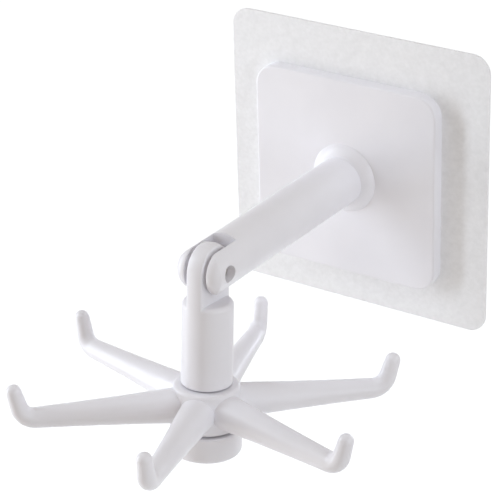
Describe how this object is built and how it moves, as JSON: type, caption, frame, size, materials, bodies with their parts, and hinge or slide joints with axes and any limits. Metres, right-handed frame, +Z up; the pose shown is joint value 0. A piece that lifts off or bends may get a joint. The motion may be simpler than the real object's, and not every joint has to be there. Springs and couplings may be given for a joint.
{
  "type": "rotating hook rack",
  "caption": "Wall rack with an adhesive plate, a round arm, a folding post and a spinning ring of upturned hooks for hanging kitchen tools.",
  "frame": {"origin": "on the arm's axis, in the wall plane at the back of the adhesive film", "axes": "+X along the wall, +Y into the wall, +Z up"},
  "size_m": [0.1266, 0.1513, 0.1164],
  "materials": {
    "white_plastic": "satin",
    "film": "frosted",
    "steel": "zinc plated"
  },
  "bodies": {
    "wall_arm": {"adhesive_film": "film", "base_plate": "white_plastic", "arm": "white_plastic", "arm_screw": "steel", "hinge_pin": "steel"},
    "fold_post": {"post": "white_plastic", "end_cap": "white_plastic", "cap_screw": "steel"},
    "hook_ring": {"hook_rotor": "white_plastic"}
  },
  "joints": [
    {"name": "fold", "type": "hinge", "parent": "wall_arm", "child": "fold_post", "pos_m": [0, -0.0866, 0], "axis": [-1, 0, 0], "range_deg": [-4.5, 175.5]},
    {"name": "spin", "type": "hinge", "parent": "fold_post", "child": "hook_ring", "pos_m": [0, -0.09027, -0.04666], "axis": [0, 0.0785, 0.9969], "continuous": true}
  ]
}
